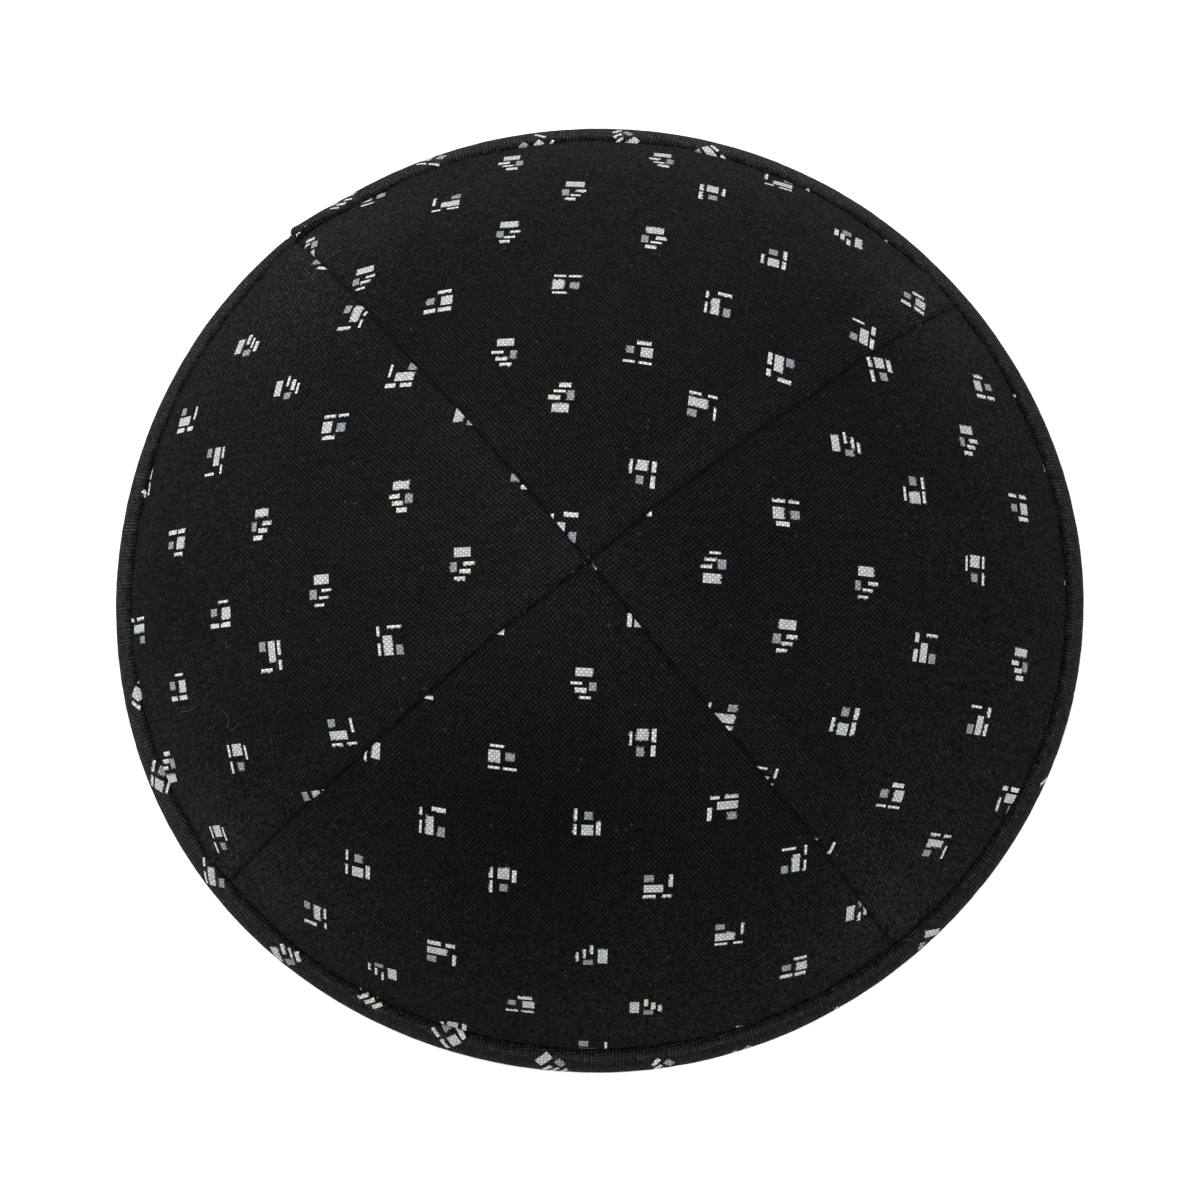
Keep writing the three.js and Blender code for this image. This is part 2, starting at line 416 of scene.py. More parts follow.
def wander(waves, angle):
    """How far some waves round the cap move a place, by its direction."""
    return sum(
        wave["amplitude"] * np.cos(wave["lobes"] * (angle - math.radians(wave["crest_deg"])))
        for wave in waves
    )


def smooth(low, high, value):
    """A smooth step from 0 at low to 1 at high."""
    share = np.clip((value - low) / (high - low), 0, 1)
    return share * share * (3 - 2 * share)


def hump(distance, width):
    """A smooth hump: 1 where distance is 0, and next to nothing past twice the width."""
    return np.exp(-(distance / width) ** 2)


def toward(angle, direction_deg, spread_deg):
    """A smooth hump round the cap: 1 in one direction, and less to both sides of it."""
    off = angle - math.radians(direction_deg)
    return np.exp((np.cos(off) - 1) / math.radians(spread_deg) ** 2)


def waviness(u, v, seed, length):
    """Smooth unevenness between about -1 and 1: waves in a few directions, of about one length.

    The golden angle spreads the directions, and the other numbers only keep waves and seeds apart.
    """
    total, waves, golden_angle = 0, 6, 2.399
    for k in range(waves):
        turn = seed * 1.7 + k * golden_angle
        pace = 2 * math.pi / length * (0.7 + 0.13 * k)
        ahead = u * math.cos(turn) + v * math.sin(turn)
        total = total + np.sin(pace * ahead + seed * 5.1 + k * k)
    return total / (waves / 2)


def uneven(kind, u, v):
    """An unevenness of a kind in the table, at a place that two distances give."""
    row = next(row for row in UNEVENNESS if row["kind"] == kind)
    return row["size"] * waviness(u, v, row["seed"], row["length"])


def section(up_face, depth):
    """Radius and height of places on the cap's section."""
    angle = RIM_ANGLE - up_face / SPHERE_RADIUS
    radius = (SPHERE_RADIUS - depth) * np.sin(angle)
    height = SPHERE_MIDDLE + (SPHERE_RADIUS - depth) * np.cos(angle) - CROWN_PITCH * radius
    return np.maximum(radius, 0), height


def turned(radius, height, angle):
    """Points of a section at a direction round the cap, with the groove's and the rim's waves."""
    level = height + CROWN_PITCH * radius - SPHERE_MIDDLE
    reach, fall = np.hypot(radius, level), np.arctan2(radius, level)
    up_face = (RIM_ANGLE - fall) * SPHERE_RADIUS
    moved_to, still_from = GROOVE_AT + 1.5, GROOVE_AT + 18
    near_groove = smooth(0, GROOVE_AT, up_face) * (1 - smooth(moved_to, still_from, up_face))
    nip = toward(angle, GROOVE_NIP["direction_deg"], GROOVE_NIP["spread_deg"])
    shift = wander(GROOVE_WAVES, angle) + GROOVE_NIP["shift"] * nip
    fall = fall - shift * near_groove / SPHERE_RADIUS
    radius = reach * np.sin(fall)
    height = SPHERE_MIDDLE + reach * np.cos(fall) - CROWN_PITCH * radius
    radius = radius * (1 + wander(RIM_WAVES, angle) / RIM_RADIUS)
    return np.stack([radius * np.cos(angle), radius * np.sin(angle), height + 0 * angle], -1)


def place(up_face, depth, angle):
    """Points of the cap, by how far they lie up its face, under that face and round it."""
    return turned(*section(up_face, depth), angle)


def on_plan(up_face, angle):
    """A place of the crown as two distances from its tip, laid out flat."""
    from_tip = CROWN_TIP_AT - up_face
    return from_tip * np.cos(angle), from_tip * np.sin(angle)


def seam_direction(seam_deg, up_face):
    """Where a seam runs: straight down the crown, but for what a sewing hand adds."""
    from_tip = CROWN_TIP_AT - up_face
    off_line = SEAM_WANDER * waviness(from_tip, 0 * from_tip, seam_deg % 360, WANDER_LENGTH)
    radius = np.maximum(section(up_face, 0)[0], LEAST_RADIUS)
    return math.radians(seam_deg) + off_line * smooth(*WANDER_FROM_TIP, from_tip) / radius


def quarter_round(share):
    """Depth of a quarter-round edge, from 0 where share is 0 to 1 where share is 1."""
    return 1 - np.sqrt(1 - np.clip(share, 0, 1) ** 2)


def rows_of_panel():
    """Distances up the face of a panel's rows, from the crown's tip to its edge in the fold."""
    crown_from = CROWN_TIP_AT - TIP_ROWS[-1]
    crown_to = GROOVE_AT + GROOVE_ROLL
    steps = round((crown_from - crown_to) / CROWN_ROW_STEP)
    crown = np.linspace(crown_from, crown_to, steps + 1)[1:]
    rolls = [
        crown_to - (GROOVE_ROLL + GROOVE_TUCK) * math.sin(math.radians(turn))
        for turn in GROOVE_TURNS_DEG
    ]
    tongue = [GROOVE_AT - 1.2, PANEL_EDGE_AT]
    return np.array([CROWN_TIP_AT - at for at in TIP_ROWS] + list(crown) + rolls + tongue)


def columns_of_panel(width):
    """Distances of a panel's columns from its first seam, closer where the cloth rolls in."""
    near = [SEAM_ROLL * (1 - math.cos(math.radians(turn))) for turn in SEAM_TURNS_DEG]
    near = np.array(near + list(SEAM_COLUMNS)) * min(1.0, width / FULL_WIDTH)
    middle = np.linspace(near[-1], width - near[-1], MIDDLE_COLUMNS)[1:-1]
    return np.concatenate([near, middle, width - near[::-1]])


def cloth_lie(up_face, angle, panel):
    """Where a place of a panel lies on the flat cloth, along and across its threads.

    The panel's middle threads follow great circles of the crown, and the others keep their
    distances from them, as woven cloth does when it takes a round form.
    """
    fall = RIM_ANGLE - up_face / SPHERE_RADIUS
    off = angle - math.radians(panel["grain_deg"])
    across = np.arcsin(np.clip(np.sin(fall) * np.sin(off), -1, 1))
    foot = np.arctan2(np.sin(fall) * np.cos(off), np.cos(fall))
    along = (foot * SPHERE_RADIUS - GRAIN_MIDDLE_AT) * np.cos(across)
    shift_along, shift_across = panel["print_shift"]
    return along + shift_along, across * SPHERE_RADIUS + shift_across


def panel_grid(panel, last_seam_deg):
    """Places of a panel's rows and columns: up the face, direction, and distance to each seam."""
    rows = []
    for up_face in rows_of_panel():
        first = seam_direction(panel["seam_deg"], up_face)
        last = seam_direction(last_seam_deg, up_face)
        radius = float(section(up_face, 0)[0])
        width = radius * (last - first) - SEAM_GAP
        from_first = columns_of_panel(width)
        angle = first + (from_first + SEAM_GAP / 2) / radius
        rows.append((np.full_like(angle, up_face), angle, from_first, width - from_first))
    return [np.array(part) for part in zip(*rows)]


def seam_pull(up_face, angle):
    """How hard a seam's stitches draw the cloth in, around 1, as it changes along the seam."""
    return 1 + uneven("seam_pull", *on_plan(up_face, angle))


def allowance_lift(panel, from_first, from_last):
    """1 where a pressed seam allowance lies under the cloth, 0 elsewhere."""
    lift = 0
    for pressed, distance in zip(panel["allowance"], (from_first, from_last)):
        if pressed:
            lift = lift + 1 - smooth(ALLOWANCE_WIDTH, ALLOWANCE_WIDTH + ALLOWANCE_FADE, distance)
    return lift + 0 * from_first


def painted_cloth_light(panel, up_face, angle, from_first, from_last):
    """Painted sheen and shade on the cloth: over a pressed allowance, along the seams and in patches.
    """
    from_tip = CROWN_TIP_AT - up_face
    # Painted sheen over a pressed allowance
    tone = 1 + ALLOWANCE_PAINTED_SHEEN * allowance_lift(panel, from_first, from_last)
    near_seam = hump(np.minimum(from_first, from_last), SEAM_PAINTED_LIGHT_WIDTH)
    # Painted shade midway along the seams and painted sheen near the rim
    for part in SEAM_PAINTED_LIGHT:
        tone = tone + part["tone"] * near_seam * hump(from_tip - part["from_tip"], part["length"])
    # Wide soft patches of painted sheen and shade
    for part in SOFT_PAINTED_LIGHT:
        middle_at = part["from_tip"]
        off = angle - math.radians(part["direction_deg"])
        apart = from_tip**2 + middle_at**2 - 2 * from_tip * middle_at * np.cos(off)
        tone = tone + part["tone"] * np.exp(-apart / part["width"] ** 2)
    return tone


def puckers(up_face, angle):
    """How far the groove's stitches draw the cloth above it in and out."""
    round_rim = RIM_RADIUS * angle
    near_groove = np.exp(-np.maximum(up_face - GROOVE_AT - GROOVE_ROLL, 0) / PUCKER_REACH)
    by_stitch = PUCKER_DEPTH * np.cos(2 * math.pi * round_rim / STITCH_PITCH)
    return near_groove * (by_stitch + uneven("pucker", round_rim, 0 * angle))


def panel_depths(panel, up_face, angle, from_first, from_last):
    """Depths of the printed face and of the plain inside."""
    seam = np.minimum(from_first, from_last)
    groove = (GROOVE_AT + GROOVE_ROLL - up_face) / (GROOVE_ROLL + GROOVE_TUCK)
    into_groove = FOLD_NEAR * quarter_round(groove)
    on_crown = 1 - smooth(*RELIEF_END, groove)
    hollow = 1 - smooth(0, SEAM_ROLL, seam)
    into_seam = SEAM_DEPTH * hollow + SEAM_PINCH_DEPTH * quarter_round(1 - seam / SEAM_PINCH)
    into_seam = on_crown * into_seam * seam_pull(up_face, angle)
    plan = on_plan(up_face, angle)
    relief = uneven("crown_wide", *plan) + uneven("crown_close", *plan)
    settled = smooth(0.0, SEAM_HOLD_WIDTH, seam) * (1 - SEAM_HOLD) + SEAM_HOLD
    outer = into_groove + into_seam + on_crown * (relief * settled + puckers(up_face, angle))
    lift = allowance_lift(panel, from_first, from_last)
    outer = outer - ALLOWANCE_LIFT * lift * on_crown * smooth(*ALLOWANCE_RISE, seam)
    at_edge = 1 - smooth(*INSIDE_STEP, up_face - GROOVE_AT)
    inside = PANEL_WALL + (EDGE_INSIDE - PANEL_WALL) * at_edge
    opened = 1 - smooth(ALLOWANCE_WIDTH - INSIDE_EDGE, ALLOWANCE_WIDTH, seam)
    opened = opened * on_crown
    inside = inside + INSIDE_ALLOWANCE * opened * (1 - quarter_round(1 - seam / SEAM_ROLL))
    return outer, inside + on_crown * relief


def quads(grid):
    """The values at the four corners of each cell of a grid, in order round the cell."""
    corners = [grid[:-1, :-1], grid[:-1, 1:], grid[1:, 1:], grid[1:, :-1]]
    return np.stack(corners, -1).reshape(-1, 4)


def border(grid):
    """The values along the border of a grid, in order."""
    return np.concatenate([grid[0], grid[1:, -1], grid[-1, -2::-1], grid[-2:0:-1, 0]]).tolist()


def add_object(name, data):
    """An object of the scene, made of its data."""
    added = bpy.data.objects.new(name, data)
    bpy.context.scene.collection.objects.link(added)
    return added


def make_piece(name, points, faces, materials, face_material=None, cloth=None, painted_light=None):
    """A smooth mesh object. points are millimetres.

    cloth gives each corner's place on the cloth, and the last map its painted light: a level of
    painted sheen and shade, and how much painted shade it takes at seams, the groove and the lap.
    """
    mesh = bpy.data.meshes.new(name)
    mesh.from_pydata((np.asarray(points) * MM).tolist(), [], faces)
    for material in materials:
        mesh.materials.append(material)
    if face_material is not None:
        mesh.polygons.foreach_set("material_index", face_material)
    mesh.polygons.foreach_set("use_smooth", [True] * len(mesh.polygons))
    if cloth is not None:
        mesh.uv_layers.new(name="cloth").data.foreach_set("uv", np.asarray(cloth, float).ravel())
    if painted_light is not None:
        mesh.uv_layers.new(name="painted_light").data.foreach_set("uv", np.asarray(painted_light, float).ravel())
    mesh.validate()
    mesh.update()
    return add_object(name, mesh)


def corner_values(faces, values):
    """Values of vertices, given out to the corners of the faces."""
    return np.asarray(values)[np.concatenate([np.asarray(face) for face in faces])]


def make_panel(panel, last_seam_deg, printed, plain):
    """One quarter panel: its printed face, its plain inside, and the edges that join them."""
    up_face, angle, from_first, from_last = panel_grid(panel, last_seam_deg)
    depths = panel_depths(panel, up_face, angle, from_first, from_last)
    points = np.concatenate([place(up_face, depth, angle).reshape(-1, 3) for depth in depths])
    count = up_face.size
    vertices = np.arange(count).reshape(up_face.shape)
    faces_out = quads(vertices).tolist()
    faces_in = [face[::-1] for face in quads(vertices + count).tolist()]
    edge = border(vertices)
    faces_edge = [(b, a, a + count, b + count) for a, b in zip(edge, edge[1:] + edge[:1])]
    faces = [face[::-1] for face in faces_out + faces_in + faces_edge]
    lie = np.stack(cloth_lie(up_face, angle, panel), -1).reshape(-1, 2)
    cloth = corner_values(faces, np.concatenate([lie, lie]))
    # Painted shade at the seams and in the groove
    near_seam = hump(np.minimum(from_first, from_last), SEAM_SHADE_WIDTH)
    near_seam = SEAM_SHADE * near_seam * seam_pull(up_face, angle)
    near_groove = GROOVE_SHADE * hump(up_face - GROOVE_AT, GROOVE_SHADE_WIDTH)
    near = np.maximum(near_seam, near_groove)
    # Painted sheen and shade over the cloth
    tone = painted_cloth_light(panel, up_face, angle, from_first, from_last)
    painted_light = np.stack([tone, near], -1).reshape(-1, 2)
    painted_light = corner_values(faces, np.concatenate([painted_light, painted_light]))
    sides = [0] * len(faces_out) + [1] * len(faces_in) + [0] * len(faces_edge)
    return make_piece("cloth_" + panel["node"], points, faces, [printed, plain], sides, cloth, painted_light)


def binding_profile():
    """The folded strip's section from the groove round to the inside of the fold.

    Gives radius, height, the outward direction in which a lap lifts each point, as its parts
    along both, and the share of that lift it takes.
    """
    rows = []
    top_at = GROOVE_AT - ROLL_BELOW - BINDING_ROLL
    inner_top_at = GROOVE_AT - 0.3
    fold_foot_at = PANEL_EDGE_AT - CLEARANCE
    fold_middle_at = 3.6
    fold_top_at = GROOVE_AT - 0.6

    def swell(up_face):
        return BINDING_SWELL * math.sin(math.pi * (up_face / GROOVE_AT) ** SWELL_LEAN)

    def add(up_face, depth, lifted):
        radius, height = section(up_face, depth)
        tilt = RIM_ANGLE - up_face / SPHERE_RADIUS
        rows.append((float(radius), float(height), math.sin(tilt), math.cos(tilt), lifted))

    top_swell = swell(top_at)
    for turn in np.linspace(90, 0, PROFILE_POINTS["roll"]):
        reach = math.sin(math.radians(turn))
        fall = 1 - math.cos(math.radians(turn))
        depth = -top_swell + (BINDING_WALL * ROLL_DEPTH + top_swell) * fall
        add(top_at + BINDING_ROLL * reach, depth, 1 - fall)
    for up_face in np.linspace(top_at, 0, PROFILE_POINTS["face"])[1:]:
        add(up_face, -swell(up_face), 1.0)
    start_radius, start_height = rows[-1][:2]
    for turn in np.radians(np.linspace(0, 90, PROFILE_POINTS["outer_edge"])[1:]):
        reach = RIM_ROUNDING * (1 - math.cos(turn))
        height = start_height * (1 - math.sin(turn))
        rows.append((start_radius - reach, height, math.cos(turn), 0.0, 1 - turn / (math.pi / 2)))
    inner_radius, inner_height = (float(part) for part in section(INNER_EDGE_AT, BINDING_INSIDE))
    for turn in np.radians(np.linspace(90, 0, PROFILE_POINTS["inner_edge"])):
        reach = RIM_ROUNDING * (1 - math.cos(turn))
        rows.append((inner_radius + reach, inner_height * (1 - math.sin(turn)), 0.0, 0.0, 0.0))
    for up_face in np.linspace(INNER_EDGE_AT, inner_top_at, PROFILE_POINTS["inside"])[1:]:
        add(up_face, BINDING_INSIDE, 0.0)
    for turn in np.radians(np.linspace(0, 180, PROFILE_POINTS["top"])[1:]):
        depth = (BINDING_INSIDE + FOLD_FAR) / 2 + math.cos(turn) * BINDING_WALL / 2
        add(inner_top_at + INNER_TOP_BULGE * math.sin(turn), depth, 0.0)
    for up_face in (fold_middle_at, fold_foot_at):
        add(up_face, FOLD_FAR, 0.0)
    for up_face in (fold_foot_at, fold_middle_at, fold_top_at):
        add(up_face, BINDING_WALL, 0.0)
    return [np.array(part) for part in zip(*rows)]


def binding_directions():
    """Directions of the binding's columns, once round from the foot of the lap, close at the lap."""
    near = np.arange(0, FOOT_REACH, FOOT_STEP)
    far = np.linspace(near[-1], RIM_LENGTH - END_REACH, ROUND_COLUMNS)[1:]
    back = np.linspace(far[-1], RIM_LENGTH, END_COLUMNS)[1:-1]
    return math.radians(LAP_TO_DEG) + np.concatenate([near, far, back]) / RIM_RADIUS


def lap_height(before_foot):
    """How proud the strip's end stands, by the distance still to go to the lap's foot."""
    length = RIM_RADIUS * math.radians(LAP_TO_DEG - LAP_FROM_DEG)
    rise = smooth(length, 0.0, before_foot)
    end = np.sqrt(1 - np.clip(1 - before_foot / LAP_ROUNDING, 0, 1) ** 2)
    return LAP_STEP * rise * end


def binding_relief(run, width):
    """How proud the binding stands of its plain section: at the lap, and from unevenness.

    run is a place's distance round the rim from the lap's foot, and width its distance from the
    groove along the section.
    """
    slant = LAP_SLANT * smooth(0, GROOVE_AT, width)
    before_foot = np.maximum(RIM_LENGTH - run - slant, 0)
    knob = hump(before_foot - LAP_KNOB["before_foot"], LAP_KNOB["width"])
    stands = 1 + LAP_KNOB["rise"] * knob * smooth(*LAP_KNOB_ACROSS, width)
    lift = lap_height(before_foot) * stands
    lift = lift - LAP_HOLLOW * knob * (1 - smooth(*LAP_HOLLOW_ACROSS, width))
    crease = -LAP_CREASE["depth"] * hump(run - LAP_CREASE["after_foot"], LAP_CREASE["width"])
    swell = uneven("binding_swell", run, 0 * width)
    drag = uneven("binding_drag", run + width, 0 * width)
    return lift + crease + swell + drag


def painted_binding_light(across, angle):
    """Painted light on the binding: a crest highlight, shade where it is steeper, light top and left.
    """
    tone = 1
    for part in BINDING_PAINTED_LIGHT:
        there = toward(angle, part["direction_deg"], part["spread_deg"])
        tone = tone + part["tone"] * there * hump(across - part["across"], part["width"])
    return tone


def strip_lie(along, across):
    """Where a place of the binding lies on the cloth that its strip was cut from."""
    turn = math.radians(BIAS_DEG)
    return np.stack([
        along * math.cos(turn) - across * math.sin(turn) + BINDING_SHIFT[0],
        along * math.sin(turn) + across * math.cos(turn) + BINDING_SHIFT[1],
    ], -1)


def make_binding(material):
    """The bound rim: a strip folded over the panels' edges, its end lapped over its start."""
    radius, height, out_x, out_z, lifted = binding_profile()
    directions = binding_directions()
    count, columns = len(directions), len(radius)
    run = (directions - directions[0]) * RIM_RADIUS
    width = np.concatenate([[0], np.cumsum(np.hypot(np.diff(radius), np.diff(height)))])
    run_grid, width_grid = np.meshgrid(run, width, indexing="ij")
    move = binding_relief(run_grid, width_grid) * lifted
    angle = np.repeat(directions[:, None], columns, 1)
    points = turned(radius + move * out_x, height + move * out_z, angle).reshape(-1, 3)
    ring = np.arange(count * columns).reshape(count, columns)
    faces = quads(np.pad(ring, ((0, 1), (0, 1)), "wrap")).tolist()
    runs = np.append(run, RIM_LENGTH)
    widths = np.append(width, width[-1] + CLOSING_WIDTH)
    along, across = (quads(part).ravel() for part in np.meshgrid(runs, widths, indexing="ij"))
    # Painted shade beside the groove
    near_groove = GROOVE_SHADE * hump(across, BINDING_SHADE_WIDTH)
    # Painted shade in the hollow beside the lap's knob
    near_lap = hump(RIM_LENGTH - along - LAP_SHADE["before_foot"], LAP_SHADE["width"])
    near_lap = near_lap * (1 - smooth(*LAP_SHADE_ACROSS, across))
    # Painted light and shade on the binding
    tone = painted_binding_light(across, directions[0] + along / RIM_RADIUS)
    painted_light = np.stack([tone, np.maximum(near_groove, near_lap)], -1)
    cloth = strip_lie(along, across)
    return make_piece("cloth_rim_binding", points, faces, [material], None, cloth, painted_light)


def tube(path, thickness, sides=THREAD_SIDES):
    """A thread along a path of points, pinched at both ends: its vertices and faces."""
    path = np.asarray(path, float)
    count = len(path)
    ahead = np.gradient(path, axis=0)
    ahead /= np.linalg.norm(ahead, axis=1)[:, None]
    side = np.cross(ahead, (0.0, 0.0, 1.0))
    side /= np.linalg.norm(side, axis=1)[:, None]
    other = np.cross(side, ahead)
    girth = np.ones(count)
    girth[[0, -1]] = THREAD_END_GIRTH
    turns = np.arange(sides) * 2 * math.pi / sides
    ring = np.cos(turns)[:, None, None] * side + np.sin(turns)[:, None, None] * other
    points = path[None] + ring * (thickness / 2 * girth)[None, :, None]
    points = points.transpose(1, 0, 2).reshape(-1, 3)
    faces = []
    for i in range(count - 1):
        for k in range(sides):
            a, b = i * sides + k, i * sides + (k + 1) % sides
            faces.append((a, a + sides, b + sides, b))
    faces.append(tuple(range(sides)))
    faces.append(tuple((count - 1) * sides + k for k in reversed(range(sides))))
    return points, faces


def joined(parts):
    """Several meshes as one."""
    points, faces = [], []
    for part_points, part_faces in parts:
        start = sum(len(p) for p in points)
        points.append(part_points)
        faces += [tuple(v + start for v in face) for face in part_faces]
    return np.concatenate(points), faces


def thread_piece(name, parts, thread):
    """Several threads as one piece, of one of the thread materials."""
    return make_piece(name, *joined(parts), [threads[thread]])


def stitch_ring(name):
    """A row of short stitches round the rim, by its name in the table."""
    row = STITCH_ROWS[name]
    count = round(RIM_LENGTH / STITCH_PITCH)
    reach = STITCH_PITCH * STITCH_REACH / RIM_RADIUS
    along = np.array(STITCH_SHAPE["along"])
    depth = row["depth"] + row["sink"] * np.array(STITCH_SHAPE["dip"])
    parts = []
    for k in range(count):
        middle = (k + 0.5) * 2 * math.pi / count
        lean = STITCH_LEAN * math.sin(k * LEAN_PACE)
        path = place(row["up_face"] + lean * along, depth, middle + along * reach)
        parts.append(tube(path, STITCH_THICKNESS))
    return thread_piece(name, parts, "black_thread")


def lap_stitch(stitch):
    """A short pale stitch over the lap's end."""
    share = np.linspace(-1, 1, STITCH_POINTS)
    lean = math.radians(stitch["lean_deg"])
    reach = share * stitch["length"] / 2
    up_face = stitch["up_face"] + reach * math.cos(lean)
    angle = math.radians(stitch["direction_deg"]) + reach * math.sin(lean) / RIM_RADIUS
    height = stitch["height"] + STITCH_CLEAR - STITCH_DIP * np.abs(share) ** 3
    return tube(place(up_face, -height, angle), stitch["thickness"])


def lint_hair(hair):
    """A fine curved hair that lies on the crown."""
    share = np.linspace(0, 1, HAIR_POINTS)
    kink = HAIR_KINK_DEG * np.sin(HAIR_KINK_PACE * share + hair["turn_deg"])
    heading = np.radians(hair["turn_deg"] + (hair["curl_deg"] * share + kink))
    step = hair["length"] / (HAIR_POINTS - 1)
    along = np.concatenate([[0], np.cumsum(np.cos(heading[:-1]) * step)])
    aside = np.concatenate([[0], np.cumsum(np.sin(heading[:-1]) * step)])
    up_face = CROWN_TIP_AT - hair["from_tip"] - along
    angle = math.radians(hair["direction_deg"]) + aside / section(up_face, 0)[0]
    depth = -HAIR_CLEAR - HAIR_ARCH * np.sin(share * math.pi)
    return tube(place(up_face, depth, angle), HAIR_THICKNESS, HAIR_SIDES)


def tip_speck(speck):
    """The cut end of a thread where the seams meet."""
    up_face = CROWN_TIP_AT - (speck["from_tip"] + np.array(SPECK_ALONG))
    angle = np.full(len(SPECK_ALONG), math.radians(speck["direction_deg"]))
    return tube(place(up_face, np.array(SPECK_DEPTHS), angle), SPECK_THICKNESS)


class Shading:
    """Adds nodes to one node tree. A value is a number, a tuple or another node's output."""

    def __init__(self, tree):
        self.tree = tree

    def feed(self, socket, value):
        if isinstance(value, bpy.types.NodeSocket):
            self.tree.links.new(value, socket)
        else:
            socket.default_value = value

    def add(self, kind, *values, output=0, **settings):
        node = self.tree.nodes.new(kind)
        for key, setting in settings.items():
            setattr(node, key, setting)
        for socket, value in zip(node.inputs, values):
            self.feed(socket, value)
        return node.outputs[output]

    def math(self, operation, *values):
        return self.add("ShaderNodeMath", *values, operation=operation)

    def times(self, a, b):
        return self.math("MULTIPLY", a, b)

    def plus(self, a, b):
        return self.math("ADD", a, b)

    def vector(self, operation, *values, output=0):
        return self.add("ShaderNodeVectorMath", *values, operation=operation, output=output)

    def scaled(self, vector, scale):
        return self.vector("MULTIPLY", vector, (scale, scale, scale))

    def pair(self, x, y):
        return self.add("ShaderNodeCombineXYZ", x, y, 0.0)

    def parts(self, vector):
        return self.add("ShaderNodeSeparateXYZ", vector).node.outputs

    def ranged(self, value, low, high, to_low=0.0, to_high=1.0, kind="LINEAR"):
        return self.add("ShaderNodeMapRange", value, low, high, to_low, to_high,
                        interpolation_type=kind)

    def mixed(self, kind, factor, first, second):
        node = self.tree.nodes.new("ShaderNodeMix")
        node.data_type = kind
        first_at, second_at, result_at = MIX_SOCKETS[kind]
        for index, value in ((0, factor), (first_at, first), (second_at, second)):
            self.feed(node.inputs[index], value)
        return node.outputs[result_at]

    def blend(self, factor, first, second):
        """The first colour where factor is 0 and the second where it is 1."""
        return self.mixed("RGBA", factor, first, second)

    def pick(self, factor, first, second):
        """The first vector where factor is 0 and the second where it is 1."""
        return self.mixed("VECTOR", factor, first, second)

    def dimmed(self, colour, level):
        node = self.vector("SCALE", colour if not isinstance(colour, tuple) else colour[:3]).node
        self.feed(node.inputs["Scale"], level)
        return node.outputs[0]

    def noise(self, vector, scale, detail=2.0, roughness=0.5, output=0):
        return self.add("ShaderNodeTexNoise", vector, 0.0, scale, detail, roughness, output=output)

    def hashed(self, vector, output=0):
        return self.add("ShaderNodeTexWhiteNoise", vector, output=output)

    def group(self, tree, *values):
        node = self.tree.nodes.new("ShaderNodeGroup")
        node.node_tree = tree
        for socket, value in zip(node.inputs, values):
            self.feed(socket, value)
        return node.outputs


def new_group(name, inputs, outputs):
    """An empty node group, its shading and its inputs. Sockets are given as name and kind."""
    tree = bpy.data.node_groups.new(name, "ShaderNodeTree")
    for label, kind in inputs:
        tree.interface.new_socket(name=label, in_out="INPUT", socket_type="NodeSocket" + kind)
    for label, kind in outputs:
        tree.interface.new_socket(name=label, in_out="OUTPUT", socket_type="NodeSocket" + kind)
    return tree, Shading(tree), tree.nodes.new("NodeGroupInput").outputs


def end_group(tree, *values):
    """Gives a node group its outputs, in the order of their sockets."""
    end = tree.nodes.new("NodeGroupOutput")
    for socket, value in zip(end.inputs, values):
        tree.links.new(value, socket)


